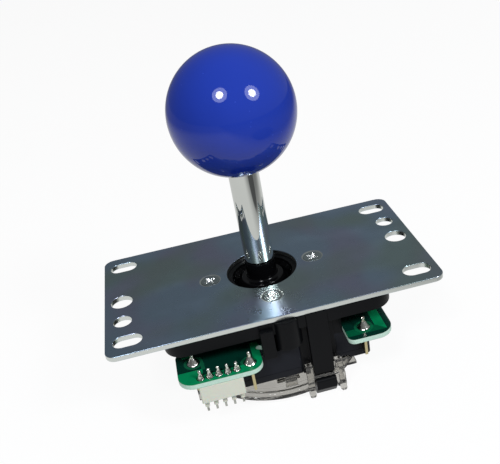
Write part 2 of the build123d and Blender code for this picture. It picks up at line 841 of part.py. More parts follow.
# Square gate that limits the lever's throw
reach_depth = pivot_level - actuator_underside
gate_reach = reach_depth * tan(radians(tilt_limit)) + actuator_radius / cos(radians(tilt_limit))
gate_half_opening = gate_reach + free_gap
insert_size = gate_size - 2 * drop_in_gap
with BuildPart() as restrictor_gate:
    with BuildSketch(level(disc_underside)):
        RectangleRounded(insert_size, insert_size, gate_corner_radius)
    extrude(amount=carrier_thickness)
    with BuildSketch(level(disc_top)):
        RectangleRounded(
            2 * (gate_half_opening + gate_collar_width),
            2 * (gate_half_opening + gate_collar_width),
            gate_opening_radius + gate_collar_width,
        )
    extrude(amount=gate_collar_height)
    with BuildSketch(level(disc_underside)):
        with PolarLocations(insert_size / 2, 4):
            Rectangle(2 * tab_reach, tab_width)
    extrude(amount=-tab_height)
    with BuildSketch(level(disc_underside - tab_height)):
        RectangleRounded(2 * gate_half_opening, 2 * gate_half_opening, gate_opening_radius)
    extrude(amount=carrier_thickness + gate_collar_height + 2 * tab_height, mode=Mode.SUBTRACT)
save(restrictor_gate, "restrictor_gate")
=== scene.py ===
"""Looks of a panel-mount arcade lever, dressed over its construction frame.

Lengths are in metres unless a name ends in mm. The origin is the middle of the plate's top face
on the lever's axis, +X runs along the plate, +Y to the back and +Z up the lever.
"""

import logging
import math
from dataclasses import dataclass, field
from enum import Enum
from functools import lru_cache
from typing import Any

import bpy
from mathutils import Matrix, Vector

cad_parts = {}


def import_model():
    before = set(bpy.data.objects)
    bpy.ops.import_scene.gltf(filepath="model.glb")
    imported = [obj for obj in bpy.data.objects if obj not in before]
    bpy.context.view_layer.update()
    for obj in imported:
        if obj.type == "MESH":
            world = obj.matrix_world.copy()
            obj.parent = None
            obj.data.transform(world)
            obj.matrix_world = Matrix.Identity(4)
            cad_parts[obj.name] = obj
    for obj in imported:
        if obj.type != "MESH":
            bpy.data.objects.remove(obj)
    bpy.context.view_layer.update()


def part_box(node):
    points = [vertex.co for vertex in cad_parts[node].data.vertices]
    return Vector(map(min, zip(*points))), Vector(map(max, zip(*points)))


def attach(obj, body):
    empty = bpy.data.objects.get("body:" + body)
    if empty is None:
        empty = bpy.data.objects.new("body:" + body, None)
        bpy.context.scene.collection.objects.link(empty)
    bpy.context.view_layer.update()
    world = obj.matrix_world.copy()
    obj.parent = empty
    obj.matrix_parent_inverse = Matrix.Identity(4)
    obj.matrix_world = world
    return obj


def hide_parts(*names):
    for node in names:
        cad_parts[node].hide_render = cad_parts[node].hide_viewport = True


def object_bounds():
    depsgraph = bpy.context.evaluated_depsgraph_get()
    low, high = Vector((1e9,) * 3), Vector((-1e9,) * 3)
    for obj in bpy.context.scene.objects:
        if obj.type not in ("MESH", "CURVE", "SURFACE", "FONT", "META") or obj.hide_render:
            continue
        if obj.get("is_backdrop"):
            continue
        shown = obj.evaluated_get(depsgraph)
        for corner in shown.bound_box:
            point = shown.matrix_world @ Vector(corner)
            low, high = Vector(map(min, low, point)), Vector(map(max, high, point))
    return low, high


Colour = tuple[float, float, float]
Span = tuple[float, float]
Steps = list[Span]
Rgba = tuple[float, float, float, float]
Settings = dict[str, Any]
Sockets = dict[str | int, Any]

MM = 0.001
PHOTO_WIDTH = 500
PHOTO_HEIGHT = 464
FLOOR_SPAN = 6.0
MERGE_DISTANCE = 2e-6
CAP_DISTANCE = 1e-7
SAME_RADIUS = 1e-6
FLAT_DEGREES = 0.6
SMOOTH_DEGREES = 42.0
GLOW_DEPTH_MM = 0.6

log = logging.getLogger("lever")


class Side(Enum):
    """The four sides that a switch faces, by the turn of their outward direction."""

    FRONT = -90
    RIGHT = 0
    BACK = 90
    LEFT = 180

    @property
    def label(self) -> str:
        """The side's name as the nodes write it."""
        return self.name.lower()

    @property
    def outward(self) -> Vector:
        """The direction that the side faces."""
        return Vector((math.cos(math.radians(self.value)), math.sin(math.radians(self.value)), 0))


class Body(Enum):
    """The bodies of the frame that new pieces ride on."""

    HOUSING = "housing"
    PINS = "pins"
    PIVOT = "pivot"
    LEVER = "lever"


def linear(colour: Colour) -> Rgba:
    """Turns a colour written as 0 to 255 into the shader's own numbers.

    Args:
        colour: Red, green and blue as they look on a screen.

    Returns:
        Red, green, blue and alpha from 0 to 1, in linear light.
    """
    parts = [part / 255 for part in colour]
    parts = [part / 12.92 if part <= 0.04045 else ((part + 0.055) / 1.055) ** 2.4 for part in parts]
    return (parts[0], parts[1], parts[2], 1.0)


class Value:
    """A number in a material that Python's own operators work on."""

    def __init__(self, recipe: "Recipe", socket: bpy.types.NodeSocket) -> None:
        """Wraps one output socket of a recipe's node."""
        self.recipe = recipe
        self.socket = socket

    def math(self, operation: str, other: "Value | float" = 0.0, swapped: bool = False) -> "Value":
        """Adds one Math node.

        Args:
            operation: The Math node's operation.
            other: The second number.
            swapped: Whether the other number comes first.

        Returns:
            The node's result.
        """
        pair = (other, self) if swapped else (self, other)
        return self.recipe.value("ShaderNodeMath", {"operation": operation}, {0: pair[0], 1: pair[1]})

    def __add__(self, other: "Value | float") -> "Value":
        """Sum."""
        return self.math("ADD", other)

    __radd__ = __add__

    def __sub__(self, other: "Value | float") -> "Value":
        """Difference."""
        return self.math("SUBTRACT", other)

    def __rsub__(self, other: "Value | float") -> "Value":
        """Difference from a plain number."""
        return self.math("SUBTRACT", other, swapped=True)

    def __mul__(self, other: "Value | float") -> "Value":
        """Product."""
        return self.math("MULTIPLY", other)

    def __pow__(self, other: "Value | float") -> "Value":
        """Power."""
        return self.math("POWER", other)

    def __abs__(self) -> "Value":
        """Size without its sign."""
        return self.math("ABSOLUTE")

    def __gt__(self, other: "Value | float") -> "Value":
        """One where this number is the greater, else nought."""
        return self.math("GREATER_THAN", other)

    def __lt__(self, other: "Value | float") -> "Value":
        """One where this number is the lesser, else nought."""
        return self.math("LESS_THAN", other)

    def least(self, other: "Value | float") -> "Value":
        """The smaller of two numbers."""
        return self.math("MINIMUM", other)

    def most(self, other: "Value | float") -> "Value":
        """The larger of two numbers."""
        return self.math("MAXIMUM", other)

    def between(self, low: float, high: float) -> "Value":
        """One between two limits, else nought."""
        return (self > low) * (self < high)

    def rise(self, start: float, end: float) -> "Value":
        """Climbs smoothly from nought to one.

        Args:
            start: Where it leaves nought.
            end: Where it reaches one.

        Returns:
            The climbing number.
        """
        return self.recipe.value(
            "ShaderNodeMapRange",
            {"interpolation_type": "SMOOTHSTEP"},
            {"Value": self, "From Min": start, "From Max": end},
        )


class Recipe:
    """The nodes of one material or of the world."""

    def __init__(self, owner: bpy.types.Material | bpy.types.World) -> None:
        """Starts from an empty node tree.

        Args:
            owner: The material or world whose nodes these are.
        """
        owner.use_nodes = True
        self.tree = owner.node_tree
        self.tree.nodes.clear()

    def node(
        self, kind: str, settings: Settings | None = None, sockets: Sockets | None = None
    ) -> bpy.types.Node:
        """Adds one node.

        Args:
            kind: The node's type.
            settings: Its own settings, which are set first.
            sockets: Numbers, colours or links for its input sockets.

        Returns:
            The new node.
        """
        node = self.tree.nodes.new(kind)
        for name, setting in (settings or {}).items():
            setattr(node, name, setting)
        for name, given in (sockets or {}).items():
            if isinstance(given, Value):
                self.tree.links.new(given.socket, node.inputs[name])
            elif isinstance(given, bpy.types.NodeSocket):
                self.tree.links.new(given, node.inputs[name])
            else:
                node.inputs[name].default_value = given
        return node

    def value(self, kind: str, settings: Settings | None = None, sockets: Sockets | None = None) -> Value:
        """Adds one node and wraps its output as a number, with the arguments of node()."""
        return Value(self, self.node(kind, settings, sockets).outputs[0])

    def surface(self, shader: bpy.types.Node, kind: str = "ShaderNodeOutputMaterial") -> None:
        """Sends a shader to the output of the material or the world."""
        self.node(kind, sockets={"Surface": shader.outputs[0]})

    def place(self) -> bpy.types.NodeSocket:
        """The point's own place on the object."""
        return self.node("ShaderNodeTexCoord").outputs["Object"]

    def axes_mm(self) -> tuple[Value, Value, Value]:
        """The point's X, Y and Z in millimetres."""
        parts = self.node("ShaderNodeSeparateXYZ", sockets={0: self.place()})
        return tuple(Value(self, parts.outputs[i]) * (1 / MM) for i in range(3))

    def noise(self, size_mm: float, detail: float = 2.0, stretch: Colour = (1.0, 1.0, 1.0)) -> Value:
        """Cloudy variation from nought to one.

        Args:
            size_mm: Rough size of one patch.
            detail: How many finer layers lie on it.
            stretch: How much finer it runs along each direction.

        Returns:
            The variation at the point.
        """
        place = self.node("ShaderNodeMapping", sockets={"Vector": self.place(), "Scale": stretch}).outputs[0]
        return self.value(
            "ShaderNodeTexNoise", sockets={"Vector": place, "Scale": 1 / (size_mm * MM), "Detail": detail}
        )

    def cells(self, size_mm: float) -> Value:
        """Distance to the nearest of many scattered points, in cells of one size."""
        scale = 1 / (size_mm * MM)
        return self.value("ShaderNodeTexVoronoi", sockets={"Vector": self.place(), "Scale": scale})

    def blend(self, share: Value | float, first: Any, second: Any) -> bpy.types.NodeSocket:
        """Mixes two colours.

        Args:
            share: How much of the second colour shows.
            first: A colour or a link.
            second: A colour or a link.

        Returns:
            The mixed colour.
        """
        mix = self.node("ShaderNodeMix", {"data_type": "RGBA"}, {0: share, 6: first, 7: second})
        return mix.outputs[2]

    def relief(self, height: Value, depth_mm: float) -> bpy.types.NodeSocket:
        """Turns a height from nought to one into a surface normal."""
        bump = self.node("ShaderNodeBump", sockets={"Distance": depth_mm * MM, "Height": height})
        return bump.outputs[0]


@dataclass(frozen=True)
class Finish:
    """A plain moulded or painted finish, and what the special ones share."""

    name: str
    colour: Colour
    roughness: float = 0.4
    metallic: float = 0.0
    gloss: float = 0.5
    see_through: float = 0.0
    bend: float = 1.5
    glow_under: float = 0.0
    grain_mm: float = 0.35
    grain_depth_mm: float = 0.006
    patch_mm: float = 9.0
    patch_share: float = 0.12
    patch_detail: float = 2.0
    roughness_spread: float = 0.08
    stretch: Colour = (1.0, 1.0, 1.0)

    def shade(self, share: float) -> Rgba:
        """The finish's colour, lightened by a share, or darkened by a negative one."""
        return linear(tuple(min(255.0, part * (1 + share)) for part in self.colour))

    def patchy(self, recipe: Recipe) -> tuple[bpy.types.NodeSocket, Value]:
        """Gives colour and roughness that drift in patches.

        Args:
            recipe: The material's nodes.

        Returns:
            The colour and the roughness at the point.
        """
        patch = recipe.noise(self.patch_mm, self.patch_detail)
        colour = recipe.blend(patch, self.shade(-self.patch_share), self.shade(self.patch_share))
        return colour, self.roughness + (patch - 0.5) * self.roughness_spread

    def sockets(self, recipe: Recipe) -> Sockets:
        """What varies over the surface: patches, and a grain that may run one way.

        Args:
            recipe: The material's nodes.

        Returns:
            The shader's sockets by name.
        """
        colour, roughness = self.patchy(recipe)
        grain = recipe.relief(recipe.noise(self.grain_mm, 3.0, self.stretch), self.grain_depth_mm)
        return {"Base Color": colour, "Roughness": roughness, "Normal": grain}

    def material(self) -> bpy.types.Material:
        """Makes the finish as a material.

        Returns:
            The material.
        """
        material = bpy.data.materials.new(self.name)
        recipe = Recipe(material)
        plain = {
            "Metallic": self.metallic,
            "Specular IOR Level": self.gloss,
            "Transmission Weight": self.see_through,
            "IOR": self.bend,
            "Subsurface Weight": self.glow_under,
            "Subsurface Scale": GLOW_DEPTH_MM * MM,
        }
        shader = recipe.node("ShaderNodeBsdfPrincipled", sockets={**plain, **self.sockets(recipe)})
        recipe.surface(shader)
        return material


@dataclass(frozen=True)
class ZincPlate(Finish):
    """Zinc-plated sheet: smoky on its faces with violet and green sheens, painted pale as a highlight on its
    edges, hole walls and countersinks and in a ring round each screw.
    """

    violet: Colour = (170, 163, 192)
    green: Colour = (154, 175, 165)
    bright: Colour = (178, 203, 229)
    # Pale colour of the painted highlight on the walls and in the ring round each screw.
    cut: Colour = (226, 231, 226)
    # Inner and outer radius of the painted highlight ring round each screw.
    ring_mm: Span = (2.8, 3.25)
    screws_mm: float = 15.8
    middle_mm: float = -0.8
    face_mm: float = 0.8

    def sockets(self, recipe: Recipe) -> Sockets:
        """Sheens in broad drifting patches, a painted highlight on the pale walls of its edges, holes and
        countersinks, and a painted highlight ring round each screw.

        Args:
            recipe: The material's nodes.

        Returns:
            The shader's sockets by name.
        """
        x, y, height = recipe.axes_mm()
        drift = recipe.noise(17.0, 1.0, (1.0, 0.6, 1.0)).rise(0.42, 0.66)
        second = recipe.noise(22.0, 1.0, (0.7, 1.0, 1.0)).rise(0.44, 0.66)
        third = recipe.noise(14.0, 1.0, (0.5, 1.2, 1.0)).rise(0.44, 0.7)
        sheen = recipe.blend(third * 0.6, linear(self.colour), linear(self.bright))
        sheen = recipe.blend(drift * 0.6, sheen, linear(self.violet))
        sheen = recipe.blend(second * 0.7, sheen, linear(self.green))
        stain = recipe.noise(4.5, 2.0).rise(0.5, 0.8)
        sheen = recipe.blend(stain * 0.12, sheen, self.shade(-0.25))
        # Painted highlight: a pale ring round each screw at the countersink's rim.
        near, far = abs(x).least(abs(y)), abs(x).most(abs(y))
        away = (near * near + (far - self.screws_mm) ** 2.0) ** 0.5
        sheen = recipe.blend(away.between(*self.ring_mm) * 0.8, sheen, linear(self.cut))
        # Painted highlight: the walls of the edges, holes and countersinks are painted pale.
        wall = 1.0 - abs(height - self.middle_mm).rise(self.face_mm - 0.22, self.face_mm - 0.06)
        rolled = recipe.noise(2.5, 1.0, (2.0, 1.0, 1.0))
        return {
            "Base Color": recipe.blend(wall, sheen, linear(self.cut)),
            "Roughness": self.roughness + (recipe.noise(5.0, 3.0) - 0.5) * self.roughness_spread,
            "Normal": recipe.relief(rolled, self.grain_depth_mm),
        }


@dataclass(frozen=True)
class GlossBall(Finish):
    """Glossy dyed plastic with the faint wave of its mould and a few specks of dust."""

    dust_apart_mm: float = 2.4
    dust_share: float = 0.045

    def sockets(self, recipe: Recipe) -> Sockets:
        """Colour that deepens in slow clouds, a faint wave and dust.

        Args:
            recipe: The material's nodes.

        Returns:
            The shader's sockets by name.
        """
        cloud = recipe.noise(14.0, 1.0)
        dust = recipe.cells(self.dust_apart_mm) < self.dust_share
        clouded = recipe.blend(cloud, self.shade(-0.05), self.shade(0.05))
        return {
            "Base Color": recipe.blend(dust * 0.3, clouded, self.shade(0.9)),
            "Roughness": self.roughness + dust * 0.3 + cloud * 0.01,
            "Normal": recipe.relief(recipe.noise(3.2, 2.0), self.grain_depth_mm),
        }


@dataclass(frozen=True)
class BrightMetal(Finish):
    """Polished or plated metal with fine turning or rolling marks."""

    patch_detail: float = 3.0
    stretch: Colour = (1.0, 1.0, 8.0)


@dataclass(frozen=True)
class GreasedMoulding(Finish):
    """Black moulding with a fine eroded texture, and a film of grease round the bowl, whose colour is painted
    darker as shade in the bowl.
    """

    grease_and_shade_colour: Colour = (3, 3, 4)
    film_radius_mm: float = 9.3
    film_level_mm: float = -4.2
    film_roughness: float = 0.07

    def sockets(self, recipe: Recipe) -> Sockets:
        """Texture everywhere but under the grease, which lies in blobs; under the grease the colour is
        painted darker as shade in the bowl.

        Args:
            recipe: The material's nodes.

        Returns:
            The shader's sockets by name.
        """
        x, y, z = recipe.axes_mm()
        reach = (x * x + y * y) ** 0.5
        film = (1.0 - reach.rise(self.film_radius_mm - 0.4, self.film_radius_mm)) * (z > self.film_level_mm)
        blob = film * recipe.noise(1.3, 2.0).rise(0.5, 0.62)
        height = recipe.noise(self.grain_mm, 4.0) * (1.0 - film) + blob * 6.0
        dry, roughness = self.patchy(recipe)
        return {
            # Painted shade: the greased zone round the bowl takes a darker colour, while its gloss is the
            # grease.
            "Base Color": recipe.blend(film, dry, linear(self.grease_and_shade_colour)),
            "Roughness": roughness - film * (self.roughness - self.film_roughness),
            "Normal": recipe.relief(height, self.grain_depth_mm),
        }


@dataclass(frozen=True)
class BoardLaminate(Finish):
    """Green solder mask over copper, with a dark gap round each joint, bare laminate at the edge, and a
    darker field inside the copper band that is partly painted shade under the plate.
    """

    copper_green: Colour = (2, 124, 76)
    track_green: Colour = (14, 84, 56)
    dark_green: Colour = (2, 44, 34)
    edge: Colour = (196, 224, 208)
    fibre: Colour = (150, 186, 165)
    middle_mm: float = -11.8
    half_mm: float = 0.8
    band_mm: Span = (25.9, 28.7)
    lobe_corner_mm: Span = (-7.0, -20.0)
    pour_mm: Span = (-26.2, -28.9)
    pour_ends_mm: Span = (-23.6, -9.4)
    link_x_mm: Span = (-23.8, -22.8)
    link_y_mm: Span = (-26.6, -23.6)
    loop_mm: Span = (1.9, 2.7)
    loop_from_mm: float = 1.5
    pads_mm: tuple[tuple[float, float, float], ...] = ()

    def sockets(self, recipe: Recipe) -> Sockets:
        """Copper fields seen through the mask, dark gaps round the pads, the pale edge, and a darker field
        inside that is partly painted shade.

        Args:
            recipe: The material's nodes.

        Returns:
            The shader's sockets by name.
        """
        x, y, z = recipe.axes_mm()
        outer = abs(x).most(abs(y))
        lobe = (x < self.lobe_corner_mm[0]) * (y < self.lobe_corner_mm[1])
        band = outer.between(*self.band_mm) * (1.0 - lobe) * (0.35 + (abs(x) > abs(y)) * 0.65)
        pour = ((y < self.pour_mm[0]) * (x < self.pour_ends_mm[0])).most(y < self.pour_mm[1])
        pour = pour.most(x > self.pour_ends_mm[1]) * lobe
        gap, loop = band * 0.0, x.between(*self.link_x_mm) * y.between(*self.link_y_mm) * lobe
        for pad_x, pad_y, radius in self.pads_mm:
            away = ((x - pad_x) ** 2.0 + (y - pad_y) ** 2.0) ** 0.5
            gap = gap.most(away < radius)
            if radius > self.loop_from_mm:
                loop = loop.most(away.between(*self.loop_mm))
        # The copper band along the outer edge shows light and the field inside it dark; that darker field is
        # partly painted shade under the plate.
        copper = band.most(pour)
        mask = recipe.blend(loop, linear(self.dark_green), linear(self.track_green))
        mask = recipe.blend(copper, mask, linear(self.copper_green))
        mask = recipe.blend(recipe.noise(5.0, 2.0).rise(0.4, 0.75) * 0.3, mask, linear(self.dark_green))
        mask = recipe.blend(gap * 0.85, mask, self.shade(-0.7))
        wall = 1.0 - abs(z - self.middle_mm).rise(self.half_mm - 0.14, self.half_mm - 0.06)
        weave = recipe.noise(0.5, 3.0, (1.0, 1.0, 5.0))
        edge = recipe.blend(weave.rise(0.45, 0.7) * 0.5, linear(self.edge), linear(self.fibre))
        return {
            "Base Color": recipe.blend(wall, mask, edge),
            "Roughness": self.roughness + wall * 0.4 + (weave - 0.5) * self.roughness_spread,
            "Normal": recipe.relief(weave * 0.4 + copper * 0.6, self.grain_depth_mm),
        }


ZINC = ZincPlate("zinc_plating", (158, 181, 203), 0.28, 1.0, grain_depth_mm=0.00025, roughness_spread=0.1)
SCREW_STEEL = BrightMetal("screw_zinc", (168, 180, 182), 0.2, 1.0, grain_mm=0.3, grain_depth_mm=0.01)
# Painted highlight: the cross recess is much paler than the screw head and stands in for its glints.
RECESS_HIGHLIGHT = BrightMetal(
    "screw_recess_highlight", (232, 236, 232), 0.16, 1.0, grain_mm=0.5, grain_depth_mm=0.09, stretch=(1.0, 1.0, 1.0)
)
CHROME = BrightMetal(
    "chrome", (214, 217, 212), 0.03, 1.0, grain_depth_mm=0.0003, roughness_spread=0.02, patch_share=0.02
)
BLUE_GLOSS = GlossBall("blue_gloss", (29, 54, 156), 0.03, gloss=0.4, grain_depth_mm=0.001)
MOULDING = GreasedMoulding(
    "black_moulding", (10, 11, 13), 0.36, gloss=0.12, grain_mm=0.25, grain_depth_mm=0.012
)
ACETAL = Finish("black_acetal", (7, 7, 8), 0.09, gloss=0.2, grain_depth_mm=0.001, roughness_spread=0.02)
PHENOLIC = Finish("switch_moulding", (26, 28, 34), 0.38, gloss=0.12, grain_mm=0.2, grain_depth_mm=0.01)
COVER = Finish("switch_cover", (22, 24, 29), 0.38, gloss=0.15, grain_mm=0.2, grain_depth_mm=0.01)
RED_ACETAL = Finish("plunger_red", (170, 28, 26), 0.3)
SPRING_STEEL = BrightMetal("spring_wire", (150, 152, 152), 0.25, 1.0, grain_mm=0.2, grain_depth_mm=0.003)
BRASS = BrightMetal("insert_brass", (200, 165, 95), 0.3, 1.0, grain_mm=0.2, grain_depth_mm=0.004)
TINNED = BrightMetal(
    "tinned_pin", (150, 152, 146), 0.24, 1.0, grain_depth_mm=0.02, patch_mm=0.7, patch_share=0.6
)
BLADE_BRASS = BrightMetal("blade_brass", (206, 194, 150), 0.28, 1.0, grain_mm=0.3, grain_depth_mm=0.004)
SOLDER = BrightMetal(
    "solder", (236, 232, 222), 0.17, 1.0, grain_mm=0.9, grain_depth_mm=0.12, stretch=(1.0, 1.0, 0.5)
)
IVORY = Finish("ivory_nylon", (214, 216, 200), 0.42, glow_under=0.15, grain_depth_mm=0.008, patch_share=0.03)
CLEAR = Finish(
    "clear_carrier", (206, 204, 198), 0.06, see_through=1.0, bend=1.58, grain_mm=1.6, grain_depth_mm=0.02
)
CLEAR_GATE = Finish(
    "clear_gate", (216, 215, 210), 0.1, see_through=1.0, bend=1.5, grain_mm=1.6, grain_depth_mm=0.02
)


@lru_cache(maxsize=None)
def material_of(finish: Finish) -> bpy.types.Material:
    """The one material of a finish, made when it is first asked for."""
    return finish.material()


class Bench:
    """The modelling moves that the sub-assemblies share."""

    @staticmethod
    def clear() -> None:
        """Leaves edit mode and deselects everything."""
        if bpy.context.mode != "OBJECT":
            bpy.ops.object.mode_set(mode="OBJECT")
        bpy.ops.object.select_all(action="DESELECT")

    @staticmethod
    def pick(piece: bpy.types.Object) -> None:
        """Makes one object the only selected one.

        Args:
            piece: The object.
        """
        Bench.clear()
        piece.select_set(True)
        bpy.context.view_layer.objects.active = piece

    @staticmethod
    def edit(piece: bpy.types.Object, selected: bool = True) -> None:
        """Opens an object in edit mode.

        Args:
            piece: The object.
            selected: Whether all of it is selected, or none.
        """
        Bench.pick(piece)
        bpy.ops.object.mode_set(mode="EDIT")
        bpy.ops.mesh.select_all(action="SELECT" if selected else "DESELECT")

    @staticmethod
    def settle(piece: bpy.types.Object, name: str) -> bpy.types.Object:
        """Names an object and brings it to the origin with its place in its mesh.

        Args:
            piece: The object.
            name: Its new name.

        Returns:
            The same object.
        """
        Bench.pick(piece)
        bpy.ops.object.transform_apply(location=True, rotation=True, scale=True)
        piece.name = name
        piece.data.name = name
        return piece

    @staticmethod
    def turned(name: str, steps: Steps, centre: Vector, segments: int = 64) -> bpy.types.Object:
        """Builds a turned shape by extruding a circle from step to step.

        Args:
            name: Name of the piece.
            steps: Radius and height of each ring of points, from the bottom up.
            centre: A point on the axis, which stands upright.
            segments: Points round each ring.

        Returns:
            The piece, with its place in its mesh.
        """
        Bench.clear()
        radius, height = steps[0]
        bpy.ops.mesh.primitive_circle_add(
            vertices=segments, radius=radius, fill_type="NGON", location=(centre.x, centre.y, height)
        )
        piece = bpy.context.object
        Bench.edit(piece)
        for next_radius, next_height in steps[1:]:
            bpy.ops.mesh.extrude_region_move(TRANSFORM_OT_translate={"value": (0, 0, next_height - height)})
            share = next_radius / radius
            if abs(share - 1) > SAME_RADIUS:
                middle = (centre.x, centre.y, next_height)
                bpy.ops.transform.resize(value=(share, share, 1), center_override=middle)
            radius, height = next_radius, next_height
        bpy.ops.mesh.select_all(action="SELECT")
        bpy.ops.mesh.remove_doubles(threshold=CAP_DISTANCE)
        bpy.ops.mesh.normals_make_consistent(inside=False)
        return Bench.settle(piece, name)

    @staticmethod
    def block(name: str, low: Vector, high: Vector) -> bpy.types.Object:
        """Adds a block, as a start or as a cutter.

        Args:
            name: Name of the piece.
            low: Its lowest corner.
            high: Its highest corner.

        Returns:
            The block, with its place in its mesh.
        """
        Bench.clear()
        bpy.ops.mesh.primitive_cube_add(size=1, location=(low + high) / 2, scale=high - low)
        return Bench.settle(bpy.context.object, name)

    @staticmethod
    def merged_copy(node: str, name: str) -> bpy.types.Object:
        """Copies a frame node's mesh and joins its loose triangles into clean faces.

        Args:
            node: The frame's node.
            name: Name of the piece.

        Returns:
            The copy, with its place in its mesh.
        """
        Bench.clear()
        mesh = bpy.data.objects[node].data.copy()
        mesh.materials.clear()
        piece = bpy.data.objects.new(name, mesh)
        bpy.context.scene.collection.objects.link(piece)
        Bench.pick(piece)
        bpy.ops.mesh.customdata_custom_splitnormals_clear()
        Bench.edit(piece)
        bpy.ops.mesh.remove_doubles(threshold=MERGE_DISTANCE)
        bpy.ops.mesh.dissolve_limited(angle_limit=math.radians(FLAT_DEGREES))
        return Bench.settle(piece, name)

    @staticmethod
    def cut(piece: bpy.types.Object, cutter: bpy.types.Object) -> None:
        """Takes one object's volume out of another.

        Args:
            piece: The piece that is cut.
            cutter: The object whose volume comes out, which is then removed.
        """
        Bench.pick(piece)
        knife = piece.modifiers.new("cut", "BOOLEAN")
        knife.operation = "DIFFERENCE"
        knife.solver = "EXACT"
        knife.object = cutter
        bpy.ops.object.modifier_apply(modifier="cut")
        bpy.data.objects.remove(cutter)

    @staticmethod
    def soften(piece: bpy.types.Object, width_mm: float, segments: int = 2, corner: float = 30.0) -> None:
        """Rounds a piece's sharp edges and shades it smoothly.

        Args:
            piece: The piece.
            width_mm: Width of the rounding, or nought for none.
            segments: Faces across the rounding.
            corner: Least angle, in degrees, that counts as an edge.
        """
        Bench.pick(piece)
        if width_mm > 0:
            rounding = piece.modifiers.new("rounding", "BEVEL")
            rounding.width = width_mm * MM
            rounding.segments = segments
            rounding.limit_method = "ANGLE"
            rounding.angle_limit = math.radians(corner)
            rounding.use_clamp_overlap = False
            bpy.ops.object.modifier_apply(modifier="rounding")
        bpy.ops.object.shade_smooth_by_angle(angle=math.radians(SMOOTH_DEGREES))
        flat = piece.modifiers.new("flat", "WEIGHTED_NORMAL")
        flat.keep_sharp = True
        bpy.ops.object.modifier_apply(modifier="flat")

    @staticmethod
    def copied(piece: bpy.types.Object, name: str, move: Matrix) -> bpy.types.Object:
        """Copies a piece with its own mesh.

        Args:
            piece: The piece.
            name: Name of the copy.
            move: How the copy's mesh is moved and turned.

        Returns:
            The copy.
        """
        twin = bpy.data.objects.new(name, piece.data.copy())
        twin.data.transform(move)
        bpy.context.scene.collection.objects.link(twin)
        return twin


def hand_over(piece: bpy.types.Object, finish: Finish, body: Body, slot: str, *nodes: str) -> None:
    """Dresses a finished piece and gives it its place in the frame.

    Args:
        piece: The piece, in place.
        finish: Its finish.
        body: The body that it rides on.
        slot: Not used.
        *nodes: The frame's nodes that it stands for.
    """
    piece.data.materials.clear()
    piece.data.materials.append(material_of(finish))
    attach(piece, body.value)
    if nodes:
        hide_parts(*nodes)
    stands_for = ", ".join(nodes) or "no node"
    log.info("%s: %d faces, stands for %s", piece.name, len(piece.data.polygons), stands_for)


def dress(node: str, finish: Finish) -> None:
    """Gives a finish to a frame node that keeps its own mesh.

    Args:
        node: The frame's node.
        finish: Its finish.
    """
    slots = bpy.data.objects[node].data.materials
    slots.clear()
    slots.append(material_of(finish))
    log.info("%s: keeps its mesh", node)


def soft_copy(node: str, name: str, width_mm: float, finish: Finish, body: Body, slot: str) -> None:
    """Puts a softened copy of a frame node in the node's place.

    Args:
        node: The frame's node.
        name: Name of the piece.
        width_mm: Width of its edges' rounding, or nought for none.
        finish: Its finish.
        body: The body that it rides on.
        slot: Not used; it is passed on to hand_over, which does not use it either.
    """
    piece = Bench.merged_copy(node, name)
    Bench.soften(piece, width_mm)
    hand_over(piece, finish, body, slot, node)


@dataclass
class Knob:
    """The ball and the threaded insert in it."""

    segments: int = 128
    bore_mm: float = 5.0
    edge_mm: float = 0.25

    def build(self) -> None:
        """Cuts the ball's flat, sinks the bore for the insert and dresses both."""
        low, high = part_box("ball_knob")
        radius = (high.x - low.x) / 2
        centre = high.z - radius
        Bench.clear()
        bpy.ops.mesh.primitive_uv_sphere_add(
            segments=self.segments, ring_count=self.segments // 2, radius=radius, location=(0, 0, centre)
        )
        ball = bpy.context.object
        Bench.edit(ball)
        bpy.ops.mesh.bisect(plane_co=(0, 0, low.z), plane_no=(0, 0, 1), use_fill=True, clear_inner=True)
        bpy.ops.mesh.inset(thickness=math.sqrt(radius**2 - (centre - low.z) ** 2) - self.bore_mm * MM)
        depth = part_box("knob_insert")[1].z - low.z + 0.1 * MM
        bpy.ops.mesh.extrude_region_move(TRANSFORM_OT_translate={"value": (0, 0, depth)})
        Bench.settle(ball, "ball")
        Bench.soften(ball, self.edge_mm, segments=3, corner=35.0)
        hand_over(ball, BLUE_GLOSS, Body.LEVER, "blue_gloss", "ball_knob")
        dress("knob_insert", BRASS)


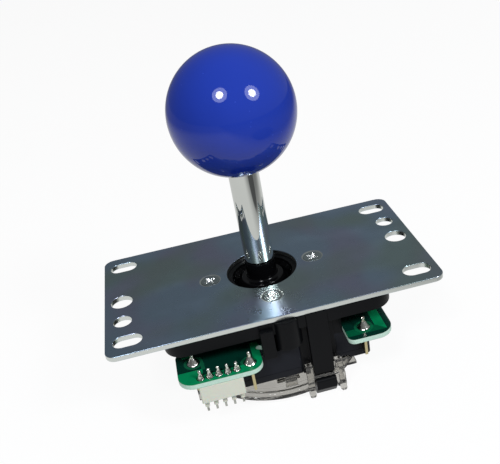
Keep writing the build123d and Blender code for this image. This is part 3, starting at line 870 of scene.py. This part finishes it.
@dataclass
class Shaft:
    """The chrome shaft with its stem, the clip on it, and the parts that ride on its lower end."""

    segments: int = 128
    stem_mm: float = 2.6
    stud_mm: float = 3.0
    groove_mm: float = 0.8
    edge_mm: float = 0.35
    slot_width_mm: float = 0.9
    slot_depth_mm: float = 0.6
    slot_edge_mm: float = 0.08
    clip_edge_mm: float = 0.08

    def steps(self) -> Steps:
        """Lists the shaft's rings, from its lower end to the top of its stud.

        Returns:
            Radius and height of each ring.
        """
        low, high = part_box("lever_shaft")
        clip_low, clip_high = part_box("e_clip")
        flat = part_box("ball_knob")[0].z
        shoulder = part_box("pivot")[1].z
        edge, stem, stud = self.edge_mm * MM, self.stem_mm * MM, self.stud_mm * MM
        neck = stem - self.groove_mm * MM
        return [
            (stem - edge, low.z),
            (stem, low.z + edge),
            (stem, clip_low.z),
            (neck, clip_low.z),
            (neck, clip_high.z),
            (stem, clip_high.z),
            (stem, shoulder),
            (high.x - edge, shoulder),
            (high.x, shoulder + edge),
            (high.x, flat - edge),
            (high.x - edge, flat),
            (stud, flat),
            (stud, high.z - edge),
            (stud - edge, high.z),
        ]

    def build(self) -> None:
        """Turns the shaft, cuts its driver slot and dresses what it carries."""
        shaft = Bench.turned("shaft", self.steps(), Vector((0, 0, 0)), self.segments)
        low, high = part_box("lever_shaft")
        half = self.slot_width_mm * MM / 2
        reach = high.x
        floor = low.z + self.slot_depth_mm * MM
        slot = Bench.block("slot", Vector((-reach, -half, low.z - reach)), Vector((reach, half, floor)))
        Bench.cut(shaft, slot)
        Bench.soften(shaft, self.slot_edge_mm, corner=25.0)
        hand_over(shaft, CHROME, Body.LEVER, "chrome_steel", "lever_shaft")
        soft_copy("actuator", "actuator_collar", 0.0, ACETAL, Body.LEVER, "black_acetal")
        soft_copy("e_clip", "stem_clip", self.clip_edge_mm, SPRING_STEEL, Body.LEVER, "spring_steel")
        soft_copy("return_spring", "coil", 0.0, SPRING_STEEL, Body.LEVER, "spring_steel")


@dataclass
class PivotJoint:
    """The black ball joint in the bowl, and its two pins."""

    edge_mm: float = 0.15

    def build(self) -> None:
        """Rounds the joint's neck and dresses the pins."""
        soft_copy("pivot", "pivot_ball", self.edge_mm, ACETAL, Body.PIVOT, "black_acetal")
        soft_copy("pivot_pins", "pivot_pin_pair", 0.0, SPRING_STEEL, Body.PINS, "spring_steel")


@dataclass
class PlateSet:
    """The mounting plate and its four countersunk screws."""

    edge_mm: float = 0.2
    screw_edge_mm: float = 0.06
    ring_mm: float = 15.8
    head_mm: float = 2.85
    thread_mm: float = 1.5
    cross_long_mm: float = 3.9
    cross_wide_mm: float = 1.0
    cross_deep_mm: float = 1.3
    cross_clear_mm: float = 0.2
    cross_taper: float = 0.45
    recess_below_mm: float = 0.15
    turns: dict[Side, float] = field(
        default_factory=lambda: {Side.FRONT: 18.0, Side.RIGHT: 52.0, Side.BACK: 75.0, Side.LEFT: 31.0}
    )

    def screw(self) -> bpy.types.Object:
        """Models one screw on the origin's axis, with its cross recess.

        Returns:
            The screw.
        """
        low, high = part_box("plate_screws")
        head, thread = self.head_mm * MM, self.thread_mm * MM
        cone = head - thread
        steps = [
            (thread * 0.7, low.z),
            (thread, low.z + 0.4 * MM),
            (thread, high.z - cone - 0.05 * MM),
            (head - 0.04 * MM, high.z - 0.12 * MM),
            (head - 0.1 * MM, high.z - 0.03 * MM),
            (head - 0.5 * MM, high.z),
        ]
        screw = Bench.turned("screw", steps, Vector((0, 0, 0)), 64)
        long, wide, deep = self.cross_long_mm * MM / 2, self.cross_wide_mm * MM / 2, self.cross_deep_mm * MM
        for reach_x, reach_y in ((long, wide), (wide, long)):
            foot = Vector((-reach_x, -reach_y, high.z - deep))
            arm = Bench.block("arm", foot, Vector((reach_x, reach_y, high.z + self.cross_clear_mm * MM)))
            Bench.edit(arm, selected=False)
            bpy.ops.object.mode_set(mode="OBJECT")
            for corner in arm.data.vertices:
                corner.select = corner.co.z < high.z
            bpy.ops.object.mode_set(mode="EDIT")
            narrow = (self.cross_taper, self.cross_taper, 1)
            bpy.ops.transform.resize(value=narrow, center_override=(0, 0, high.z - deep))
            Bench.clear()
            Bench.cut(screw, arm)
        Bench.soften(screw, self.screw_edge_mm, corner=35.0)
        return screw

    def build(self) -> None:
        """Rounds the plate's edges, and copies the screw to its four places."""
        plate = Bench.merged_copy("mounting_plate", "plate")
        Bench.soften(plate, self.edge_mm, segments=3)
        hand_over(plate, ZINC, Body.HOUSING, "zinc_plate", "mounting_plate")
        screw = self.screw()
        recess_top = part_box("plate_screws")[1].z - self.recess_below_mm * MM
        for side, turn in self.turns.items():
            place = side.outward * self.ring_mm * MM
            move = Matrix.Translation(place) @ Matrix.Rotation(math.radians(turn), 4, "Z")
            twin = Bench.copied(screw, f"plate_screw_{side.label}", move)
            hand_over(twin, SCREW_STEEL, Body.HOUSING, "screw_steel", "plate_screws")
            # Faces below the head's top, the cross recess among them, take the paler recess colour as a
            # painted highlight.
            twin.data.materials.append(material_of(RECESS_HIGHLIGHT))
            for face in twin.data.polygons:
                face.material_index = int(face.center.z < recess_top)
        bpy.data.objects.remove(screw)


@dataclass
class Housing:
    """The black moulded body and the spring seat under it."""

    edge_mm: float = 0.22
    web_edge_mm: float = 0.04
    seat_edge_mm: float = 0.1
    boss_along_mm: float = 1.3
    boss_radius_mm: float = 4.2
    boss_front_mm: float = 28.15
    boss_back_mm: float = 23.1
    boss_level_mm: Span = (-10.9, -1.75)
    wall_out_mm: Span = (23.05, 23.65)
    wall_along_mm: Span = (12.0, 17.1)
    wall_level_mm: Span = (-12.55, -4.0)
    web_out_mm: Span = (23.75, 24.75)
    web_along_mm: Span = (4.1, 6.0)
    web_level_mm: Span = (-22.7, -4.0)
    strip_out_mm: Span = (24.85, 28.08)
    strip_along_mm: Span = (-6.4, -2.7)
    strip_level_mm: Span = (-12.2, -3.2)

    def block(self, name: str, out: Span, along: Span, level: Span) -> bpy.types.Object:
        """Adds a block on the front side.

        Args:
            name: Name of the piece.
            out: Its nearest and farthest distance from the lever, in millimetres.
            along: Where it starts and ends along the side.
            level: Its lowest and highest level.

        Returns:
            The block.
        """
        low = Vector((along[0], -out[1], level[0])) * MM
        high = Vector((along[1], -out[0], level[1])) * MM
        return Bench.block(name, low, high)

    def boss(self) -> bpy.types.Object:
        """Models the half-round boss in the front notch of the board.

        Returns:
            The boss.
        """
        radius = self.boss_radius_mm * MM
        low, high = (level * MM for level in self.boss_level_mm)
        centre = Vector((self.boss_along_mm * MM, radius - self.boss_front_mm * MM, 0))
        boss = Bench.turned("boss", [(radius, low), (radius, high)], centre, 64)
        Bench.edit(boss)
        back = (0, -self.boss_back_mm * MM, 0)
        bpy.ops.mesh.bisect(plane_co=back, plane_no=(0, 1, 0), use_fill=True, clear_outer=True)
        return Bench.settle(boss, "boss")

    def around(self, piece: bpy.types.Object, name: str, width_mm: float) -> None:
        """Rounds a piece of the front side and copies it to all four sides.

        Args:
            piece: The piece, which is then removed.
            name: What the copies' names start with.
            width_mm: Width of the rounding.
        """
        Bench.soften(piece, width_mm)
        for side in Side:
            turn = Matrix.Rotation(math.radians(side.value - Side.FRONT.value), 4, "Z")
            twin = Bench.copied(piece, f"{name}_{side.label}", turn)
            hand_over(twin, MOULDING, Body.HOUSING, "black_moulding")
        bpy.data.objects.remove(piece)

    def build(self) -> None:
        """Rounds the moulding's edges, and adds what stands in the board's notches."""
        soft_copy("body", "moulded_body", self.edge_mm, MOULDING, Body.HOUSING, "black_moulding")
        self.around(self.boss(), "notch_boss", self.edge_mm)
        wall = self.block("wall", self.wall_out_mm, self.wall_along_mm, self.wall_level_mm)
        self.around(wall, "notch_wall", self.edge_mm)
        web = self.block("web", self.web_out_mm, self.web_along_mm, self.web_level_mm)
        self.around(web, "leg_web", self.web_edge_mm)
        strip = self.block("strip", self.strip_out_mm, self.strip_along_mm, self.strip_level_mm)
        self.around(strip, "notch_strip", self.edge_mm)
        soft_copy("spring_seat", "seat_washer", self.seat_edge_mm, SPRING_STEEL, Body.HOUSING, "spring_steel")


@dataclass
class SwitchBoard:
    """The circuit board, its solder joints and its header."""

    blade_base_mm: float = 1.7
    blade_bead_mm: float = 0.52
    pin_base_mm: float = 0.95
    pin_bead_mm: float = 0.46
    pin_count: int = 5
    blade_pad_mm: float = 1.85
    pin_pad_mm: float = 1.2
    lead_half_mm: float = 0.6
    edge_mm: float = 0.1
    block_edge_mm: float = 0.12
    finger_edge_mm: float = 0.2
    pin_edge_mm: float = 0.05
    bead_over_mm: float = 0.05
    cone_rings: int = 8
    cone_segments: int = 28
    cone_turn: float = 0.9
    skirt_share: float = 0.6
    skirt_curve: float = 1.05
    crinkle_mm: float = 0.06
    finger_mm: float = 1.25
    finger_length_mm: float = 2.1
    finger_drop_mm: float = 1.3
    block_cut_mm: float = 3.4
    block_drop_mm: float = 2.2
    finger_overlap_mm: float = 0.3

    def blades(self) -> list[Vector]:
        """Finds where the switches' blades come through the board.

        Returns:
            The places, level with the origin.
        """
        places = []
        for side in Side:
            for kind in ("com", "no"):
                low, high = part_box(f"{kind}_terminal_{side.label}")
                outward = side.outward
                along = Vector((-outward.y, outward.x, 0))
                middle = (low + high) / 2
                half = self.lead_half_mm * MM
                span_out = abs((high - low).dot(outward)) / 2
                span_along = abs((high - low).dot(along)) / 2
                if kind == "com":
                    places.append(middle - along * (span_along - half))
                else:
                    places.append(middle + outward * (span_out - half))
        return places

    def pins(self) -> list[Vector]:
        """Finds where the header's pins come through the board.

        Returns:
            The places, level with the origin.
        """
        low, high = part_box("header_pins")
        half = (high.y - low.y) / 2
        span = high.x - low.x - 2 * half
        return [
            Vector((low.x + half + span * i / (self.pin_count - 1), (low.y + high.y) / 2, 0))
            for i in range(self.pin_count)
        ]

    def cone(self, base: float, height: float, tip: float, bottom: float) -> bpy.types.Object:
        """Models a crinkled solder joint on the origin's axis: a skirt drawn up to a bead on the lead.

        Args:
            base: Radius of the skirt.
            height: Height of the bead's top above the board.
            tip: Radius of the bead.
            bottom: Level of the board.

        Returns:
            The joint.
        """
        skirt = height * self.skirt_share
        steps = [(base, bottom), (base * 0.96, bottom + 0.05 * MM)]
        neck, foot = tip * 0.92, base * 0.97
        for i in range(self.cone_rings):
            share = (i + 1) / self.cone_rings
            radius = neck + (foot - neck) * (1 - share) ** self.skirt_curve
            steps.append((radius, bottom + skirt * share))
        steps += [(tip * 0.9, bottom + height - tip * 1.3), (tip, bottom + height - tip * 0.8)]
        steps += [(tip * (1 - 0.2 * i), bottom + height - tip * 0.8 * (1 - i / 3) ** 1.4) for i in (1, 2)]
        steps.append((tip * 0.25, bottom + height))
        cone = Bench.turned("cone", steps, Vector((0, 0, 0)), self.cone_segments)
        Bench.edit(cone)
        bpy.ops.transform.vertex_random(offset=self.crinkle_mm * MM, normal=1.0, seed=7)
        Bench.clear()
        Bench.soften(cone, 0.0)
        return cone

    def build(self) -> None:
        """Dresses the board, and sets a joint of solder at each blade and pin."""
        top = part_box("circuit_board")[1].z
        blades, pins = self.blades(), self.pins()
        pads = [(place.x / MM, place.y / MM, self.blade_pad_mm) for place in blades]
        pads += [(place.x / MM, place.y / MM, self.pin_pad_mm) for place in pins]
        finish = BoardLaminate(
            "green_laminate",
            (4, 70, 50),
            0.22,
            grain_depth_mm=0.02,
            middle_mm=top / MM - BoardLaminate.half_mm,
            pads_mm=tuple(pads),
        )
        soft_copy("circuit_board", "board", self.edge_mm, finish, Body.HOUSING, "green_laminate")
        kinds = (
            ("blade", blades, self.blade_base_mm, "com_terminal_front", self.blade_bead_mm),
            ("pin", pins, self.pin_base_mm, "header_pins", self.pin_bead_mm),
        )
        for kind, places, base, lead, tip in kinds:
            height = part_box(lead)[1].z - top + self.bead_over_mm * MM
            cone = self.cone(base * MM, height, tip * MM, top)
            for i, place in enumerate(places):
                move = Matrix.Translation((place.x, place.y, 0)) @ Matrix.Rotation(self.cone_turn * i, 4, "Z")
                twin = Bench.copied(cone, f"solder_{kind}_{i + 1}", move)
                hand_over(twin, SOLDER, Body.HOUSING, "solder", "solder_joints")
            bpy.data.objects.remove(cone)
        housing = Bench.merged_copy("header_housing", "header_block")
        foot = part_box("header_housing")[0].z
        Bench.edit(housing)
        foot_line = (0, 0, foot + self.block_cut_mm * MM)
        bpy.ops.mesh.bisect(plane_co=foot_line, plane_no=(0, 0, 1), use_fill=True, clear_inner=True)
        bpy.ops.transform.translate(value=(0, 0, -self.block_drop_mm * MM))
        Bench.settle(housing, "header_block")
        Bench.soften(housing, self.block_edge_mm)
        hand_over(housing, IVORY, Body.HOUSING, "ivory_nylon", "header_housing")
        half = Vector((self.finger_mm / 2, self.finger_mm / 2, 0)) * MM
        rise = Vector((0, 0, (self.finger_length_mm + self.finger_drop_mm + self.finger_overlap_mm) * MM))
        for i, place in enumerate(pins):
            corner = Vector((place.x, place.y, foot - self.finger_drop_mm * MM))
            finger = Bench.block(f"header_finger_{i + 1}", corner - half, corner + half + rise)
            Bench.soften(finger, self.finger_edge_mm, segments=3)
            hand_over(finger, IVORY, Body.HOUSING, "ivory_nylon")
        soft_copy("header_pins", "header_pin_row", self.pin_edge_mm, TINNED, Body.HOUSING, "tinned_brass")


@dataclass
class SwitchSet:
    """The four microswitches: cases, covers, buttons and blades."""

    edge_mm: float = 0.18
    cover_edge_mm: float = 0.09
    blade_edge_mm: float = 0.08
    point_share: float = 0.6

    def point(self, blade: bpy.types.Object) -> None:
        """Draws in the end of a blade that stands above the board.

        Args:
            blade: The blade.
        """
        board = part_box("circuit_board")[1].z
        Bench.edit(blade)
        bpy.ops.mesh.bisect(plane_co=(0, 0, board), plane_no=(0, 0, 1))
        Bench.edit(blade, selected=False)
        bpy.ops.object.mode_set(mode="OBJECT")
        for corner in blade.data.vertices:
            corner.select = corner.co.z > board + self.edge_mm * MM
        ends = [corner.co for corner in blade.data.vertices if corner.select]
        middle = sum(ends, Vector()) / len(ends)
        bpy.ops.object.mode_set(mode="EDIT")
        bpy.ops.transform.resize(value=(self.point_share, self.point_share, 1), center_override=middle)
        Bench.clear()

    def build(self) -> None:
        """Rounds each case and cover, and dresses the rest."""
        shells = (
            ("case", self.edge_mm, PHENOLIC, "switch_phenolic"),
            ("cover", self.cover_edge_mm, COVER, "switch_cover_black"),
        )
        for side in Side:
            name = side.label
            for kind, width_mm, finish, slot in shells:
                soft_copy(f"switch_{kind}_{name}", f"{kind}_{name}", width_mm, finish, Body.HOUSING, slot)
            dress(f"switch_plunger_{name}", RED_ACETAL)
            for kind in ("com", "no"):
                blade = Bench.merged_copy(f"{kind}_terminal_{name}", f"{kind}_blade_{name}")
                self.point(blade)
                Bench.soften(blade, self.blade_edge_mm)
                hand_over(blade, BLADE_BRASS, Body.HOUSING, "tinned_brass", f"{kind}_terminal_{name}")


@dataclass
class GateSet:
    """The clear carrier under the switches, and the square gate in it."""

    edge_mm: float = 0.16

    def build(self) -> None:
        """Rounds the clear mouldings' edges."""
        soft_copy("gate_carrier", "carrier", self.edge_mm, CLEAR, Body.HOUSING, "clear_polycarbonate")
        soft_copy("restrictor_gate", "gate", self.edge_mm, CLEAR_GATE, Body.HOUSING, "clear_gate")


@dataclass(frozen=True)
class Lamp:
    """A soft lamp, placed by its direction from what it lights."""

    name: str
    azimuth: float
    elevation: float
    distance: float
    size: float
    power: float
    colour: Colour = (255, 255, 255)

    def build(self, target: Vector) -> None:
        """Hangs the lamp so that it faces its target.

        Args:
            target: The point that it faces.
        """
        turn, lift = math.radians(self.azimuth), math.radians(self.elevation)
        towards = Vector((math.sin(turn) * math.cos(lift), -math.cos(turn) * math.cos(lift), math.sin(lift)))
        light = bpy.data.lights.new(self.name, "AREA")
        light.shape = "DISK"
        light.size = self.size
        light.energy = self.power
        light.color = linear(self.colour)[:3]
        lamp = bpy.data.objects.new(self.name, light)
        lamp.location = target + towards * self.distance
        lamp.rotation_euler = (-towards).to_track_quat("-Z", "Y").to_euler()
        bpy.context.scene.collection.objects.link(lamp)


@dataclass
class Studio:
    """The camera, floor, world and lamps."""

    camera_place: Vector = field(default_factory=lambda: Vector((-17.175, -183.867, 110.986)) * MM)
    heading: float = 7.214
    pitch: float = -30.021
    roll: float = -9.848
    focal_pixels: float = 716.64
    axis_pixel: Span = (279.13, 252.36)
    sensor_mm: float = 36.0
    daylight: float = 0.24
    daylight_colour: Rgba = (0.97, 0.985, 1.0, 1.0)
    floor_white: float = 0.92
    floor_matt: float = 0.95
    floor_bounce: float = 0.42
    # Painted shade on the floor as reflections see it: its overall grey, its dimming with distance and to the
    # right front, and one dark round patch.
    paper_shade_tone: float = 0.72
    paper_mm: Span = (170.0, 460.0)
    paper_distance_shade: float = 0.72
    side_lean: float = 1.5
    side_mm: Span = (80.0, 260.0)
    side_shade: float = 0.8
    shade_centre_mm: Span = (108.0, -124.0)
    shade_mm: Span = (50.0, 63.0)
    shade_depth: float = 0.95
    tent_radius: float = 2.2
    tent_colour: Rgba = (0.93, 0.98, 1.0, 1.0)
    tent_grey: float = 0.185
    tent_slope: float = 0.085
    lamps: tuple[Lamp, ...] = (
        Lamp("key_left", -26.5, 47.4, 0.9, 0.19, 2.9),
        Lamp("halo_left", -26.5, 47.4, 0.92, 0.4, 2.1, (238, 243, 255)),
        Lamp("key_right", 44.3, 35.4, 0.9, 0.19, 2.9),
        Lamp("halo_right", 44.3, 35.4, 0.92, 0.4, 2.1, (238, 243, 255)),
    )

    def camera(self) -> None:
        """Sets the camera where the photograph was taken from, with its off-centre framing."""
        turn, tip, lean = (math.radians(angle) for angle in (self.heading, self.pitch, self.roll))
        forward = Vector((math.sin(turn) * math.cos(tip), math.cos(turn) * math.cos(tip), math.sin(tip)))
        level = forward.cross(Vector((0, 0, 1))).normalized()
        upright = level.cross(forward)
        right = level * math.cos(lean) + upright * math.sin(lean)
        up = right.cross(forward)
        data = bpy.data.cameras.new("camera")
        data.sensor_width = self.sensor_mm
        data.lens = self.focal_pixels / PHOTO_WIDTH * self.sensor_mm
        data.shift_x = (PHOTO_WIDTH / 2 - self.axis_pixel[0]) / PHOTO_WIDTH
        data.shift_y = (self.axis_pixel[1] - PHOTO_HEIGHT / 2) / PHOTO_WIDTH
        data.clip_start = 0.01
        camera = bpy.data.objects.new("camera", data)
        turned = Matrix((right, up, -forward)).transposed().to_4x4()
        camera.matrix_world = Matrix.Translation(self.camera_place) @ turned
        bpy.context.scene.collection.objects.link(camera)
        bpy.context.scene.camera = camera

    def seen(self, recipe: Recipe) -> Value:
        """Tells the rays that see the background from those that light the object.

        Args:
            recipe: The nodes that it is added to.

        Returns:
            One for rays that come from the camera, a reflection or clear plastic, else nought.
        """
        rays = recipe.node("ShaderNodeLightPath")
        names = ("Is Camera Ray", "Is Glossy Ray", "Is Transmission Ray")
        camera, glossy, through = (Value(recipe, rays.outputs[name]) for name in names)
        return camera.most(glossy).most(through)

    def world(self) -> None:
        """A white background where it is seen, and a soft even light on the object."""
        world = bpy.data.worlds.new("studio")
        bpy.context.scene.world = world
        recipe = Recipe(world)
        white = recipe.node("ShaderNodeBackground", sockets={"Color": (1, 1, 1, 1), "Strength": 1.0})
        soft = recipe.node(
            "ShaderNodeBackground", sockets={"Color": self.daylight_colour, "Strength": self.daylight}
        )
        mixed = recipe.node(
            "ShaderNodeMixShader", sockets={0: self.seen(recipe), 1: soft.outputs[0], 2: white.outputs[0]}
        )
        recipe.surface(mixed, "ShaderNodeOutputWorld")

    def floor(self) -> None:
        """A pale floor that keeps the object's shadow, and that reflections show as a duller grey with
        painted shade: dimmer far off, towards the right front and in one round patch.
        """
        Bench.clear()
        bpy.ops.mesh.primitive_plane_add(size=FLOOR_SPAN, location=(0, 0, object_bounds()[0].z))
        floor = Bench.settle(bpy.context.object, "floor")
        material = bpy.data.materials.new("floor_white")
        recipe = Recipe(material)
        rays = recipe.node("ShaderNodeLightPath")
        bounce = Value(recipe, rays.outputs["Is Diffuse Ray"])
        mirrored = Value(recipe, rays.outputs["Is Glossy Ray"])
        x, y, _ = recipe.axes_mm()
        # Painted shade that only reflections see: the floor dims with distance, towards the right front and
        # in one dark round patch.
        near = 1.0 - ((x * x + y * y) ** 0.5).rise(*self.paper_mm) * self.paper_distance_shade
        shade_x, shade_y = self.shade_centre_mm
        shade = 1.0 - (((x - shade_x) ** 2.0 + (y - shade_y) ** 2.0) ** 0.5).rise(*self.shade_mm)
        side = (x * self.side_lean - y).rise(*self.side_mm) * self.side_shade
        mirrored_tone = near * self.paper_shade_tone * (1.0 - shade * self.shade_depth) * (1.0 - side)
        tone = recipe.blend(bounce, (self.floor_matt,) * 3 + (1,), (self.floor_bounce,) * 3 + (1,))
        matt = recipe.node("ShaderNodeBsdfDiffuse", sockets={"Color": tone})
        strength = 1.0 - mirrored * (1.0 - mirrored_tone)
        plain = recipe.node("ShaderNodeEmission", sockets={"Color": (1, 1, 1, 1), "Strength": strength})
        mixed = recipe.node(
            "ShaderNodeMixShader",
            sockets={0: self.seen(recipe) * self.floor_white, 1: matt.outputs[0], 2: plain.outputs[0]},
        )
        recipe.surface(mixed)
        floor.data.materials.append(material)
        floor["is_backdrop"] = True

    def tent(self) -> None:
        """A dim grey shell round the set, which only reflections show in place of the white world."""
        Bench.clear()
        bpy.ops.mesh.primitive_uv_sphere_add(segments=32, ring_count=16, radius=self.tent_radius)
        tent = Bench.settle(bpy.context.object, "tent")
        material = bpy.data.materials.new("tent_grey")
        recipe = Recipe(material)
        x, _, _ = recipe.axes_mm()
        strength = self.tent_grey + x * (self.tent_slope * MM / self.tent_radius)
        grey = recipe.node("ShaderNodeEmission", sockets={"Color": self.tent_colour, "Strength": strength})
        recipe.surface(grey)
        tent.data.materials.append(material)
        tent.visible_camera = False
        tent.visible_diffuse = False
        tent.visible_transmission = False
        tent.visible_shadow = False
        tent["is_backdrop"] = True

    def build(self) -> None:
        """Sets up the whole studio."""
        bpy.context.scene.view_settings.view_transform = "Standard"
        self.camera()
        self.world()
        self.floor()
        self.tent()
        low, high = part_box("ball_knob")
        for lamp in self.lamps:
            lamp.build((low + high) / 2)


def main() -> None:
    """Builds the dressed lever in the frame."""
    logging.basicConfig(level=logging.INFO, format="%(name)s %(message)s")
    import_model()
    for assembly in (Studio, Knob, Shaft, PivotJoint, PlateSet, Housing, SwitchBoard, SwitchSet, GateSet):
        assembly().build()
    Bench.clear()


if __name__ == "__main__":
    main()
